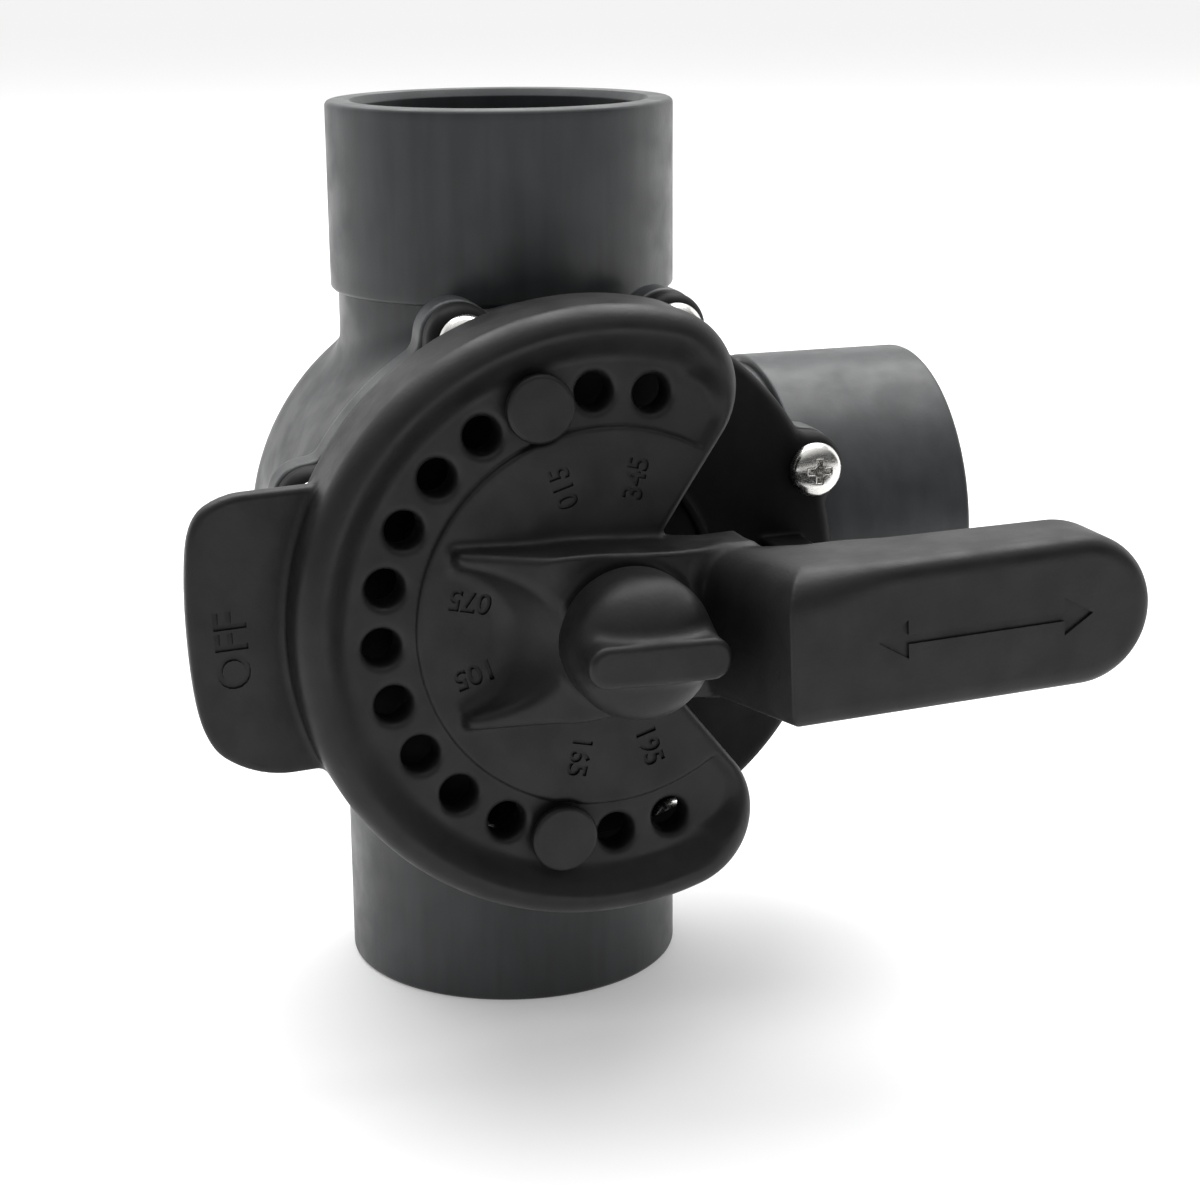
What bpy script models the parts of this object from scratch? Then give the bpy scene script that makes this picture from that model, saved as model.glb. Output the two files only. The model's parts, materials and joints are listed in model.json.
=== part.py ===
"""A three way diverter valve for 2 in. plastic pipe, as separate solids.

The three port axes cross on the stem axis, which runs along Y, and the handle faces -Y. The origin is
the centre of the flat rear pad. Every piece is modelled round the crossing of the port axes, and
hangs from the valve_axes empty, which stands REAR_REACH in front of the origin. Sizes are in metres,
and a value named FRONT, BACK or FACE is a Y coordinate counted from that crossing.
"""
import math

import bmesh
import bpy
from mathutils import Matrix, Vector

GAP = 0.0003                      # clearance between pieces that touch

# Casing
PORT_REACH = 0.0946               # crossing of the port axes to each port's end face
REAR_REACH = 0.042                # crossing of the port axes to the rear pad
COLLAR_RADIUS = 0.0365
COLLAR_LENGTH = 0.039
NECK_RADIUS = 0.0349
SOCKET_RADIUS = 0.0302            # takes a pipe of 60.3 mm outer diameter
SOCKET_DEPTH = 0.0375
MOUTH_CHAMFER = 0.0012
WATERWAY_RADIUS = 0.0262
BARREL_RADIUS = 0.053
BARREL_FILLET = 0.025
CHAMBER_RADIUS = 0.044
CHAMBER_BACK = 0.034
PIVOT_POCKET_BACK = 0.0395

# Flange, cover and screws
FLANGE_RADIUS = 0.0575
FLANGE_FRONT = -0.0437
FLANGE_BACK = -0.0345
EAR_RADIUS = 0.0075
EAR_COUNT = 8
BOLT_CIRCLE = 0.056
EAR_OFFSET = math.radians(22.5)
COVER_FRONT = -0.0500
COVER_ROUND = 0.0022
PLUG_BACK = -0.0375
PLUG_RADIUS = CHAMBER_RADIUS - 0.0004
NECK_RING_RADIUS = 0.018
NECK_RING_FRONT = -0.058
SCREW_RADIUS = 0.0024
SCREW_HOLE_RADIUS = SCREW_RADIUS + GAP
SCREW_TIP = -0.0372
SCREW_HOLE_BACK = -0.0365
SCREW_HEAD_RADIUS = 0.00565
SCREW_HEAD_HEIGHT = 0.0034
STOP_INNER = 0.040
STOP_OUTER = 0.049
STOP_HALF_WIDTH = 0.0079
STOP_FRONT = -0.062

# Diverter and seals
STEM_RADIUS = 0.011
STEM_BORE_RADIUS = STEM_RADIUS + GAP
DISC_RADIUS = 0.043
DISC_FRONT = -0.0357
DISC_BACK = -0.0317
SHUTTER_INNER = 0.038
SHUTTER_BACK = 0.0322
WEB_FRONT = 0.0282
WEB_BACK = 0.0316
SHUTTER_HALF_ANGLE = math.radians(50)
SEAL_INNER = 0.0272
SEAL_OUTER = 0.0302
SEAL_FLOOR = 0.0405
SEAL_FACE = 0.0437
PIVOT_RADIUS = 0.006
PIVOT_BACK = 0.0385
BUSHING_RADIUS = 0.008
STEM_ORING_FLOOR = 0.0086
STEM_ORING_AT = (-0.0425, -0.0485)
COVER_ORING_FLOOR = 0.0410
COVER_ORING_AT = -0.0410
ORING_SIDE_GAP = 0.00035
SQUARE_HALF = 0.0075
SQUARE_BACK = -0.063
STEM_END = -0.079
STUD_RADIUS = 0.004
STUD_BACK = -0.066
STUD_FRONT = -0.095
WASHER_HOLE_RADIUS = 0.0046

# Handle: plan values are X and Z, seen from the front with the arm along +X
REST_TURN = math.radians(2.5)     # the handle stands this far anticlockwise of square
DIAL_RADIUS = 0.061
LOBE_RADIUS = 0.016
LOBE_REACH = 0.0287               # how far the lobes reach towards the arm
MOUTH_ROOT = (0.0135, 0.017)      # where the mouth's straight edge meets the hub
SKIRT_BACK = -0.0545
SKIRT_INNER = 0.0572
DIAL_BACK = -0.0660
PEG_BAND_FRONT = -0.0705
DISC_FACE = -0.0715               # raised disc inside the peg band
BAND_INNER = 0.0380
BAND_OUTER = 0.0502
LIP_FRONT = -0.0740               # crest of the rounded lip outside the peg band
LIP_ROUND = 0.0050
PEG_CIRCLE = 0.0444
PEG_HOLE_RADIUS = 0.0036
PEG_HOLE_SIDES = 12
PEG_FIRST = 75
PEG_STEP = 15
PEG_COUNT = 15
STOP_PEG_ANGLES = {"stop_pin_upper": 105, "stop_pin_lower": 255}
STOP_PEG_RADIUS = 0.0033
STOP_PEG_TIP = -0.0565
STOP_PEG_COLLAR_RADIUS = 0.0050
STOP_PEG_HEAD_RADIUS = 0.0067
STOP_PEG_HEAD_HEIGHT = 0.0022
HUB_SLEEVE_RADIUS = 0.0160
HUB_BACK = -0.061
HUB_FRONT = -0.083
HUB_HALF = 0.0165
HORN_X = -0.030
SCOOP_RADIUS = 0.0156
SCOOP_X = -0.0316
HUB_SLOPE = ((-0.0145, HUB_FRONT), (-0.0325, -0.0735), (-0.0325, -0.085), (-0.0145, -0.085))
ARM_FRONT = -0.110
ARM_HALF = 0.0147
ARM_INNER_X = 0.024
ARM_FOOT_X = 0.015                # the arm's inner wall leans back from ARM_INNER_X to here
ARM_TIP_X = 0.097
ARM_SIDE = ((ARM_INNER_X, ARM_FRONT), (ARM_TIP_X + 0.002, ARM_FRONT), (ARM_TIP_X + 0.002, -0.092),
            (0.050, -0.0855), (0.036, -0.079), (0.030, -0.074), (0.024, -0.070),
            (ARM_FOOT_X, -0.070), (ARM_FOOT_X, HUB_FRONT))
TAB_FRONT = -0.062
TAB_BACK = -0.058
TAB_END_X = -0.0794
TAB_ROOT_X = -0.052
TAB_TOP = 0.0308
TAB_BOTTOM = -0.0252
TAB_TOP_CORNER = 0.006
TAB_BOTTOM_CORNER = 0.014
SOCKET_END = -0.0793              # blind end of the square socket in the hub

# Lock knob
WASHER_BACK = HUB_FRONT - GAP
WASHER_FRONT = WASHER_BACK - 0.001
WASHER_RADIUS = 0.0115
KNOB_BACK = WASHER_FRONT - GAP
KNOB_RADIUS = 0.014
KNOB_SHOULDER = -0.0915
KNOB_DOME = 0.011                 # height of the dome in front of the shoulder
WING_HALF_LENGTH = 0.0137
WING_HALF_WIDTH = 0.004
WING_FRONT = -0.104
WING_TURN = math.radians(-3)       # turn of the wing on the handle
INSERT_RADIUS = 0.0062
INSERT_FRONT = -0.094
STUD_CLEAR_FRONT = -0.0962

ROUND_STEPS = 36


def material(name, colour, roughness, metallic=0.0):
    """A plain Principled material."""
    made = bpy.data.materials.new(name)
    made.use_nodes = True
    shader = made.node_tree.nodes["Principled BSDF"]
    shader.inputs["Base Color"].default_value = (*colour, 1.0)
    shader.inputs["Roughness"].default_value = roughness
    shader.inputs["Metallic"].default_value = metallic
    return made


def stacked(loops, closed=False):
    """A solid through a row of loops with equal counts: capped at both ends, or closed on itself."""
    mesh = bmesh.new()
    rings = [[mesh.verts.new(point) for point in loop] for loop in loops]
    pairs = list(zip(rings, rings[1:]))
    if closed:
        pairs.append((rings[-1], rings[0]))
    for low, high in pairs:
        for i in range(len(low)):
            j = (i + 1) % len(low)
            mesh.faces.new((low[i], low[j], high[j], high[i]))
    if not closed:
        mesh.faces.new(rings[0])
        mesh.faces.new(rings[-1])
    bmesh.ops.recalc_face_normals(mesh, faces=mesh.faces)
    return mesh


def circle(radius, y, steps=ROUND_STEPS):
    """Points of a circle round the Y axis."""
    turns = [2 * math.pi * i / steps for i in range(steps)]
    return [Vector((radius * math.cos(t), y, radius * math.sin(t))) for t in turns]


def turned(profile, steps=ROUND_STEPS, closed=False):
    """A solid turned round the Y axis from (radius, y) points."""
    return stacked([circle(radius, y, steps) for radius, y in profile], closed)


def arc(centre, radius, start, end, steps):
    """Points on an arc in a plane; the angles are in degrees."""
    turns = [math.radians(start + (end - start) * i / steps) for i in range(steps + 1)]
    return [(centre[0] + radius * math.cos(t), centre[1] + radius * math.sin(t)) for t in turns]


def plan(points, y):
    """Points of the XZ plane at height y."""
    return [Vector((x, y, z)) for x, z in points]


def prism(points, front, back):
    """A plan outline drawn out along Y."""
    return stacked([plan(points, front), plan(points, back)])


def block(low, high):
    """A box between two corners."""
    mesh = bmesh.new()
    bmesh.ops.create_cube(mesh, size=1.0)
    size = Vector(high) - Vector(low)
    bmesh.ops.scale(mesh, vec=size, verts=mesh.verts)
    bmesh.ops.translate(mesh, vec=(Vector(low) + Vector(high)) / 2, verts=mesh.verts)
    return mesh


def merged(meshes):
    """Several bodies that don't meet, in one mesh."""
    whole = bmesh.new()
    for mesh in meshes:
        data = bpy.data.meshes.new("piece")
        mesh.to_mesh(data)
        mesh.free()
        whole.from_mesh(data)
        bpy.data.meshes.remove(data)
    return whole


def solid(name, mesh, finish, parent):
    """A named object made from a bmesh."""
    data = bpy.data.meshes.new(name)
    mesh.to_mesh(data)
    mesh.free()
    data.materials.append(finish)
    data.shade_smooth()
    data.set_sharp_from_angle(angle=math.radians(35))
    made = bpy.data.objects.new(name, data)
    made.parent = parent
    bpy.context.scene.collection.objects.link(made)
    return made


def tool(name, mesh, finish, parent):
    """A hidden body for a Boolean."""
    made = solid(name, mesh, finish, parent)
    made.hide_render = True
    made.display_type = "WIRE"
    return made


def combine(target, other, operation):
    """Adds one Boolean step."""
    step = target.modifiers.new(other.name, "BOOLEAN")
    step.operation = operation
    step.solver = "EXACT"
    step.object = other


def empty(name, parent=None, location=(0, 0, 0), turn=0.0):
    """A frame for other pieces; turn is anticlockwise seen from the front."""
    made = bpy.data.objects.new(name, None)
    made.parent = parent
    made.location = location
    made.rotation_euler = (0, -turn, 0)
    bpy.context.scene.collection.objects.link(made)
    return made


def at_angle(mesh, degrees, radius=0.0):
    """Moves a mesh out along +X by radius and then round the Y axis, anticlockwise from the front."""
    bmesh.ops.translate(mesh, vec=(radius, 0, 0), verts=mesh.verts)
    spin = Matrix.Rotation(-math.radians(degrees), 3, "Y")
    bmesh.ops.rotate(mesh, cent=(0, 0, 0), matrix=spin, verts=mesh.verts)
    return mesh


def along_port(mesh, port):
    """Turns a mesh made round +Y so that +Y points out of the named port."""
    turns = {"top": Matrix.Rotation(math.radians(90), 3, "X"),
             "bottom": Matrix.Rotation(math.radians(-90), 3, "X"),
             "side": Matrix.Rotation(math.radians(-90), 3, "Z")}
    bmesh.ops.rotate(mesh, cent=(0, 0, 0), matrix=turns[port], verts=mesh.verts)
    return mesh


def eared_outline(radius, ear_radius, y):
    """A circle with EAR_COUNT round ears on the bolt circle."""
    pitch = 360 / EAR_COUNT
    ear_cosine = (radius ** 2 - BOLT_CIRCLE ** 2 - ear_radius ** 2) / (2 * BOLT_CIRCLE * ear_radius)
    ear_half = math.degrees(math.acos(ear_cosine))
    rim_half = math.degrees(math.asin(ear_radius * math.sin(math.radians(ear_half)) / radius))
    loop = []
    for angle in screw_angles():
        turn = math.radians(angle)
        centre = (BOLT_CIRCLE * math.cos(turn), BOLT_CIRCLE * math.sin(turn))
        loop += arc(centre, ear_radius, angle - ear_half, angle + ear_half, 7)
        loop += arc((0, 0), radius, angle + rim_half, angle + pitch - rim_half, 4)[1:-1]
    return plan(loop, y)


def screw_angles():
    """Angles of the cover screws in degrees."""
    return [math.degrees(EAR_OFFSET) + 360 / EAR_COUNT * i for i in range(EAR_COUNT)]


def oring(inner, outer, y, steps=ROUND_STEPS):
    """A round-section ring about the Y axis."""
    section = (outer - inner) / 2
    ring = arc((inner + section, y), section, 0, 360, 6)[:-1]
    return turned(ring, steps, closed=True)


def make_body(finish, parent):
    """The casing: barrel, three socket ports, eared flange, chamber and screw holes."""
    fillet_centre = (BARREL_RADIUS - BARREL_FILLET, REAR_REACH - BARREL_FILLET)
    barrel = [(BARREL_RADIUS, FLANGE_FRONT)]
    barrel += arc(fillet_centre, BARREL_FILLET, 0, 90, 6)
    body = solid("valve_body", turned(barrel, 44), finish, parent)

    flange = stacked([eared_outline(FLANGE_RADIUS, EAR_RADIUS, y) for y in (FLANGE_FRONT, FLANGE_BACK)])
    combine(body, tool("flange_tool", flange, finish, parent), "UNION")

    shoulder = PORT_REACH - COLLAR_LENGTH
    port = ((NECK_RADIUS, 0), (NECK_RADIUS, shoulder),
            (COLLAR_RADIUS, shoulder), (COLLAR_RADIUS, PORT_REACH))
    socket_end = PORT_REACH - SOCKET_DEPTH
    bore = ((WATERWAY_RADIUS, 0), (WATERWAY_RADIUS, socket_end), (SOCKET_RADIUS, socket_end),
            (SOCKET_RADIUS, PORT_REACH - MOUTH_CHAMFER),
            (SOCKET_RADIUS + 2 * MOUTH_CHAMFER, PORT_REACH + MOUTH_CHAMFER))
    names = ("top", "bottom", "side")
    for name in names:
        outside = along_port(turned(port), name)
        combine(body, tool(name + "_port_tool", outside, finish, parent), "UNION")

    pocket = BUSHING_RADIUS + GAP
    chamber = ((CHAMBER_RADIUS, FLANGE_FRONT - 0.005), (CHAMBER_RADIUS, CHAMBER_BACK),
               (pocket, CHAMBER_BACK), (pocket, PIVOT_POCKET_BACK))
    combine(body, tool("chamber_tool", turned(chamber, 44), finish, parent), "DIFFERENCE")
    for name in names:
        inside = along_port(turned(bore), name)
        combine(body, tool(name + "_bore_tool", inside, finish, parent), "DIFFERENCE")

    hole = ((SCREW_HOLE_RADIUS, FLANGE_FRONT - 0.002), (SCREW_HOLE_RADIUS, SCREW_HOLE_BACK))
    holes = merged([at_angle(turned(hole, 10), angle, BOLT_CIRCLE) for angle in screw_angles()])
    combine(body, tool("body_holes_tool", holes, finish, parent), "DIFFERENCE")
    return body


def make_cover(finish, parent):
    """The front cover: eared plate, plug with a ring groove, stem bore, neck ring and stop lug."""
    back = FLANGE_FRONT - GAP
    levels = ((0.0005, 0.0002, back), (0.0005, 0.0002, COVER_FRONT + COVER_ROUND),
              (0.0012, 0.0008, COVER_FRONT + COVER_ROUND / 3), (0.0030, 0.0018, COVER_FRONT))
    plate = [eared_outline(FLANGE_RADIUS - rim_inset, EAR_RADIUS - ear_inset, y)
             for rim_inset, ear_inset, y in levels]
    cover = solid("cover", stacked(plate), finish, parent)

    half_groove = (PLUG_RADIUS - COVER_ORING_FLOOR) / 2 + ORING_SIDE_GAP
    groove_front = COVER_ORING_AT - half_groove
    groove_back = COVER_ORING_AT + half_groove
    plug = ((PLUG_RADIUS, back - 0.002), (PLUG_RADIUS, groove_front), (COVER_ORING_FLOOR, groove_front),
            (COVER_ORING_FLOOR, groove_back), (PLUG_RADIUS, groove_back), (PLUG_RADIUS, PLUG_BACK))
    combine(cover, tool("plug_tool", turned(plug, 44), finish, parent), "UNION")

    ring = ((NECK_RING_RADIUS + 0.002, COVER_FRONT + 0.002), (NECK_RING_RADIUS + 0.002, COVER_FRONT),
            (NECK_RING_RADIUS, COVER_FRONT - 0.002), (NECK_RING_RADIUS, NECK_RING_FRONT + 0.001),
            (NECK_RING_RADIUS - 0.001, NECK_RING_FRONT))
    combine(cover, tool("neck_ring_tool", turned(ring), finish, parent), "UNION")

    lug = block((STOP_INNER, STOP_FRONT, -STOP_HALF_WIDTH),
                (STOP_OUTER, COVER_FRONT + 0.002, STOP_HALF_WIDTH))
    combine(cover, tool("stop_lug_tool", lug, finish, parent), "UNION")

    bore = ((STEM_BORE_RADIUS, NECK_RING_FRONT - 0.002), (STEM_BORE_RADIUS, PLUG_BACK + 0.002))
    combine(cover, tool("stem_bore_tool", turned(bore), finish, parent), "DIFFERENCE")

    hole = ((SCREW_HOLE_RADIUS, COVER_FRONT - 0.002), (SCREW_HOLE_RADIUS, back + 0.002))
    holes = merged([at_angle(turned(hole, 10), angle, BOLT_CIRCLE) for angle in screw_angles()])
    combine(cover, tool("cover_holes_tool", holes, finish, parent), "DIFFERENCE")
    return cover


def make_screws(finish, parent):
    """Eight pan head screws with a cross recess, seated on the cover's ears."""
    seat = COVER_FRONT - GAP
    profile = [(SCREW_RADIUS, SCREW_TIP), (SCREW_RADIUS, seat)]
    for width, height in ((1, 0), (1, 0.4), (0.86, 0.8), (0.5, 1)):
        profile.append((width * SCREW_HEAD_RADIUS, seat - height * SCREW_HEAD_HEIGHT))
    slot_half = 0.00055
    slot_reach = 0.0026
    floor = seat - 0.0012
    front = seat - SCREW_HEAD_HEIGHT - 0.001
    for number, angle in enumerate(screw_angles(), start=1):
        blank = at_angle(turned(profile, 12), angle, BOLT_CIRCLE)
        screw = solid(f"cover_screw_{number}", blank, finish, parent)
        for mark, x, z in (("a", slot_reach, slot_half), ("b", slot_half, slot_reach)):
            slot = at_angle(block((-x, front, -z), (x, floor, z)), angle, BOLT_CIRCLE)
            combine(screw, tool(f"slot_{number}{mark}_tool", slot, finish, parent), "DIFFERENCE")


def sector(radius, start, end, steps):
    """Plan outline of a sector of a disc; the angles are in degrees."""
    return [(0.0, 0.0)] + arc((0, 0), radius, start, end, steps)


def make_diverter(finish, parent):
    """The rotor: stem, front disc, curved shutter, rear web and pivot."""
    half_groove = (STEM_BORE_RADIUS - STEM_ORING_FLOOR) / 2 + ORING_SIDE_GAP
    stem = [(DISC_RADIUS, DISC_BACK), (DISC_RADIUS, DISC_FRONT), (STEM_RADIUS, DISC_FRONT)]
    for y in STEM_ORING_AT:
        stem += [(STEM_RADIUS, y + half_groove), (STEM_ORING_FLOOR, y + half_groove),
                 (STEM_ORING_FLOOR, y - half_groove), (STEM_RADIUS, y - half_groove)]
    stem.append((STEM_RADIUS, SQUARE_BACK))
    rotor = solid("diverter", turned(stem), finish, parent)

    square = block((-SQUARE_HALF, STEM_END, -SQUARE_HALF),
                   (SQUARE_HALF, SQUARE_BACK + 0.002, SQUARE_HALF))
    combine(rotor, tool("square_tool", square, finish, parent), "UNION")

    half = math.degrees(SHUTTER_HALF_ANGLE)
    outer = arc((0, 0), DISC_RADIUS, 180 - half, 180 + half, 12)
    inner = arc((0, 0), SHUTTER_INNER, 180 + half, 180 - half, 12)
    shutter = prism(outer + inner, DISC_BACK - 0.002, SHUTTER_BACK)
    combine(rotor, tool("shutter_tool", shutter, finish, parent), "UNION")

    web_half = half - 2
    web = prism(sector(SHUTTER_INNER + 0.002, 180 - web_half, 180 + web_half, 12), WEB_FRONT, WEB_BACK)
    combine(rotor, tool("web_tool", web, finish, parent), "UNION")

    boss = BUSHING_RADIUS + 0.004
    pivot = ((boss, WEB_FRONT - 0.001), (boss, SHUTTER_BACK),
             (PIVOT_RADIUS, SHUTTER_BACK), (PIVOT_RADIUS, PIVOT_BACK))
    combine(rotor, tool("pivot_tool", turned(pivot, 32), finish, parent), "UNION")

    groove = seal_ring(GAP, SEAL_FACE + 0.004)
    combine(rotor, tool("seal_groove_tool", groove, finish, parent), "DIFFERENCE")

    hole = ((STUD_RADIUS + GAP, STEM_END - 0.002), (STUD_RADIUS + GAP, STUD_BACK + GAP))
    combine(rotor, tool("stud_hole_tool", turned(hole, 20), finish, parent), "DIFFERENCE")
    return rotor


def seal_ring(margin, face):
    """A ring round -X that is bounded by two coaxial cylinders about Y: the seal, or its groove."""
    steps = 32
    inner = SEAL_INNER - margin
    outer = SEAL_OUTER + margin
    floor = SEAL_FLOOR - margin
    loops = []
    for radius, depth in ((inner, floor), (outer, floor), (outer, face), (inner, face)):
        loop = []
        for i in range(steps):
            turn = 2 * math.pi * i / steps
            y = radius * math.cos(turn)
            z = radius * math.sin(turn)
            loop.append(Vector((-math.sqrt(depth ** 2 - z ** 2), y, z)))
        loops.append(loop)
    return stacked(loops, closed=True)


def make_seals(rubber, parent, rotor):
    """Shutter seal, stem rings and cover ring."""
    solid("diverter_seal", seal_ring(0, SEAL_FACE), rubber, rotor)
    for name, y in zip(("stem_oring_lower", "stem_oring_upper"), STEM_ORING_AT):
        ring = oring(STEM_ORING_FLOOR + GAP, STEM_BORE_RADIUS - GAP, y, 24)
        solid(name, ring, rubber, rotor)
    ring = oring(COVER_ORING_FLOOR + GAP, CHAMBER_RADIUS - GAP, COVER_ORING_AT)
    solid("cover_oring", ring, rubber, parent)


def make_bearings(finish, parent):
    """Thrust washer in front of the disc, and the bushing round the rear pivot."""
    hole = STEM_RADIUS + 0.0008
    rim = 0.020
    back = DISC_FRONT - GAP
    front = PLUG_BACK + GAP
    washer = ((hole, back), (rim, back), (rim, front), (hole, front))
    solid("thrust_washer", turned(washer, closed=True), finish, parent)
    inner = PIVOT_RADIUS + GAP
    near = SHUTTER_BACK + 0.0022
    far = PIVOT_POCKET_BACK - GAP
    bushing = ((inner, near), (BUSHING_RADIUS, near), (BUSHING_RADIUS, far), (inner, far))
    solid("pivot_bushing", turned(bushing, 32, closed=True), finish, parent)


def dial_outline():
    """Plan outline of the C-shaped dial: a round back, two lobes and a mouth towards the arm."""
    reach = DIAL_RADIUS - LOBE_RADIUS
    lobe = Vector((LOBE_REACH - LOBE_RADIUS, 0))
    lobe.y = math.sqrt(reach ** 2 - lobe.x ** 2)
    lobe_angle = math.degrees(math.atan2(lobe.y, lobe.x))
    root = Vector(MOUTH_ROOT)
    to_lobe = lobe - root
    tangent = math.degrees(math.atan2(to_lobe.y, to_lobe.x) - math.asin(LOBE_RADIUS / to_lobe.length))
    upper = arc(lobe, LOBE_RADIUS + GAP, tangent - 90, lobe_angle, 10)
    back = arc((0, 0), DIAL_RADIUS + GAP, lobe_angle, 360 - lobe_angle, 40)
    lower = [(x, -z) for x, z in reversed(upper)]
    return [MOUTH_ROOT] + upper + back[1:-1] + lower + [(MOUTH_ROOT[0], -MOUTH_ROOT[1])]


def tab_outline():
    """Plan outline of the OFF tab: two round corners away from the arm."""
    top = (TAB_END_X + TAB_TOP_CORNER, TAB_TOP - TAB_TOP_CORNER)
    bottom = (TAB_END_X + TAB_BOTTOM_CORNER, TAB_BOTTOM + TAB_BOTTOM_CORNER)
    upper = arc(top, TAB_TOP_CORNER, 90, 180, 5)
    lower = arc(bottom, TAB_BOTTOM_CORNER, 180, 270, 7)
    return [(TAB_ROOT_X, TAB_TOP)] + upper + lower + [(TAB_ROOT_X, TAB_BOTTOM)]


def hub_outline():
    """Plan outline of the hub: two horns round a scoop, and straight sides to the arm."""
    half_angle = math.degrees(math.acos((HORN_X - SCOOP_X) / SCOOP_RADIUS))
    scoop = arc((SCOOP_X, 0), SCOOP_RADIUS, -half_angle, half_angle, 14)
    hub_end = ARM_INNER_X + 0.010
    return scoop + [(HORN_X, HUB_HALF), (hub_end, HUB_HALF - 0.001), (hub_end, -HUB_HALF + 0.001),
                    (HORN_X, -HUB_HALF)]


def make_arm(finish, parent):
    """The arm as a hidden body: a wedge drawn across, cut to a round tip, with soft edges."""
    side = [Vector((x, y, -ARM_HALF)) for x, y in ARM_SIDE]
    other = [Vector((x, y, ARM_HALF)) for x, y in ARM_SIDE]
    arm = tool("arm_tool", stacked([side, other]), finish, parent)
    tip = arc((ARM_TIP_X - ARM_HALF, 0), ARM_HALF, -90, 90, 16)
    tip[0] = (tip[0][0], -ARM_HALF - 0.001)
    tip[-1] = (tip[-1][0], ARM_HALF + 0.001)
    start = ARM_FOOT_X - 0.002
    outline = [(start, -ARM_HALF - 0.001)] + tip + [(start, ARM_HALF + 0.001)]
    plan_cut = prism(outline, ARM_FRONT - 0.002, DIAL_BACK)
    combine(arm, tool("arm_tip_tool", plan_cut, finish, parent), "INTERSECT")
    soft = arm.modifiers.new("soft_edges", "BEVEL")
    soft.width = 0.0016
    soft.segments = 2
    soft.limit_method = "ANGLE"
    soft.angle_limit = math.radians(50)
    return arm


def make_handle(finish, parent):
    """One moulding: dial with peg holes, hub, arm and tab, with a square socket for the stem."""
    profile = [(HUB_SLEEVE_RADIUS, HUB_BACK), (HUB_SLEEVE_RADIUS, DIAL_BACK),
               (SKIRT_INNER, DIAL_BACK), (SKIRT_INNER, SKIRT_BACK),
               (DIAL_RADIUS - 0.0008, SKIRT_BACK), (DIAL_RADIUS, SKIRT_BACK - 0.001)]
    profile += arc((DIAL_RADIUS - LIP_ROUND, LIP_FRONT + LIP_ROUND), LIP_ROUND, 0, -90, 5)
    profile += [(0.0535, -0.0733), (0.0517, -0.0719), (BAND_OUTER, PEG_BAND_FRONT),
                (BAND_INNER, PEG_BAND_FRONT), (BAND_INNER - 0.0005, DISC_FACE)]
    handle = solid("handle", turned(profile, 60), finish, parent)

    outline = prism(dial_outline(), LIP_FRONT - 0.002, SKIRT_BACK + 0.001)
    combine(handle, tool("dial_outline_tool", outline, finish, parent), "INTERSECT")
    hub = tool("hub_tool", prism(hub_outline(), HUB_FRONT, DIAL_BACK - 0.001), finish, parent)
    reach = HUB_HALF + 0.002
    slope = [[Vector((x, y, z)) for x, y in HUB_SLOPE] for z in (-reach, reach)]
    combine(hub, tool("hub_slope_tool", stacked(slope), finish, parent), "DIFFERENCE")
    combine(handle, hub, "UNION")
    combine(handle, make_arm(finish, parent), "UNION")
    tab = tool("tab_tool", prism(tab_outline(), TAB_FRONT, TAB_BACK), finish, parent)
    inside = SKIRT_INNER + 0.0015
    clear = ((inside, TAB_BACK + 0.001), (inside, TAB_FRONT - 0.001))
    combine(tab, tool("tab_clear_tool", turned(clear, 60), finish, parent), "DIFFERENCE")
    combine(handle, tab, "UNION")

    hole = ((PEG_HOLE_RADIUS, PEG_BAND_FRONT - 0.004), (PEG_HOLE_RADIUS, DIAL_BACK + 0.004))
    half_side = 180 / PEG_HOLE_SIDES
    holes = []
    for i in range(PEG_COUNT):
        round_hole = at_angle(turned(hole, PEG_HOLE_SIDES), half_side)
        holes.append(at_angle(round_hole, PEG_FIRST + PEG_STEP * i, PEG_CIRCLE))
    combine(handle, tool("peg_holes_tool", merged(holes), finish, parent), "DIFFERENCE")

    half = SQUARE_HALF + GAP
    socket = block((-half, SOCKET_END, -half), (half, SQUARE_BACK + 0.001, half))
    combine(handle, tool("stem_socket_tool", socket, finish, parent), "DIFFERENCE")
    recess = ((STEM_BORE_RADIUS, HUB_BACK + 0.002), (STEM_BORE_RADIUS, SQUARE_BACK - GAP))
    combine(handle, tool("stem_recess_tool", turned(recess), finish, parent), "DIFFERENCE")
    bore = ((WASHER_HOLE_RADIUS, HUB_FRONT - 0.002), (WASHER_HOLE_RADIUS, SOCKET_END + 0.002))
    combine(handle, tool("stud_bore_tool", turned(bore, 20), finish, parent), "DIFFERENCE")


def make_stop_pins(finish, parent):
    """Two pegs in the dial that stop the handle on the cover's lug."""
    shoulder = PEG_BAND_FRONT - GAP
    seat = DISC_FACE - GAP
    front = seat - STOP_PEG_HEAD_HEIGHT
    profile = ((STOP_PEG_RADIUS - 0.0008, STOP_PEG_TIP), (STOP_PEG_RADIUS, STOP_PEG_TIP - 0.001),
               (STOP_PEG_RADIUS, shoulder), (STOP_PEG_COLLAR_RADIUS, shoulder),
               (STOP_PEG_COLLAR_RADIUS, seat), (STOP_PEG_HEAD_RADIUS, seat),
               (STOP_PEG_HEAD_RADIUS, front + 0.0006), (STOP_PEG_HEAD_RADIUS - 0.0006, front))
    for name, angle in STOP_PEG_ANGLES.items():
        solid(name, at_angle(turned(profile, 18), angle, PEG_CIRCLE), finish, parent)


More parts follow.
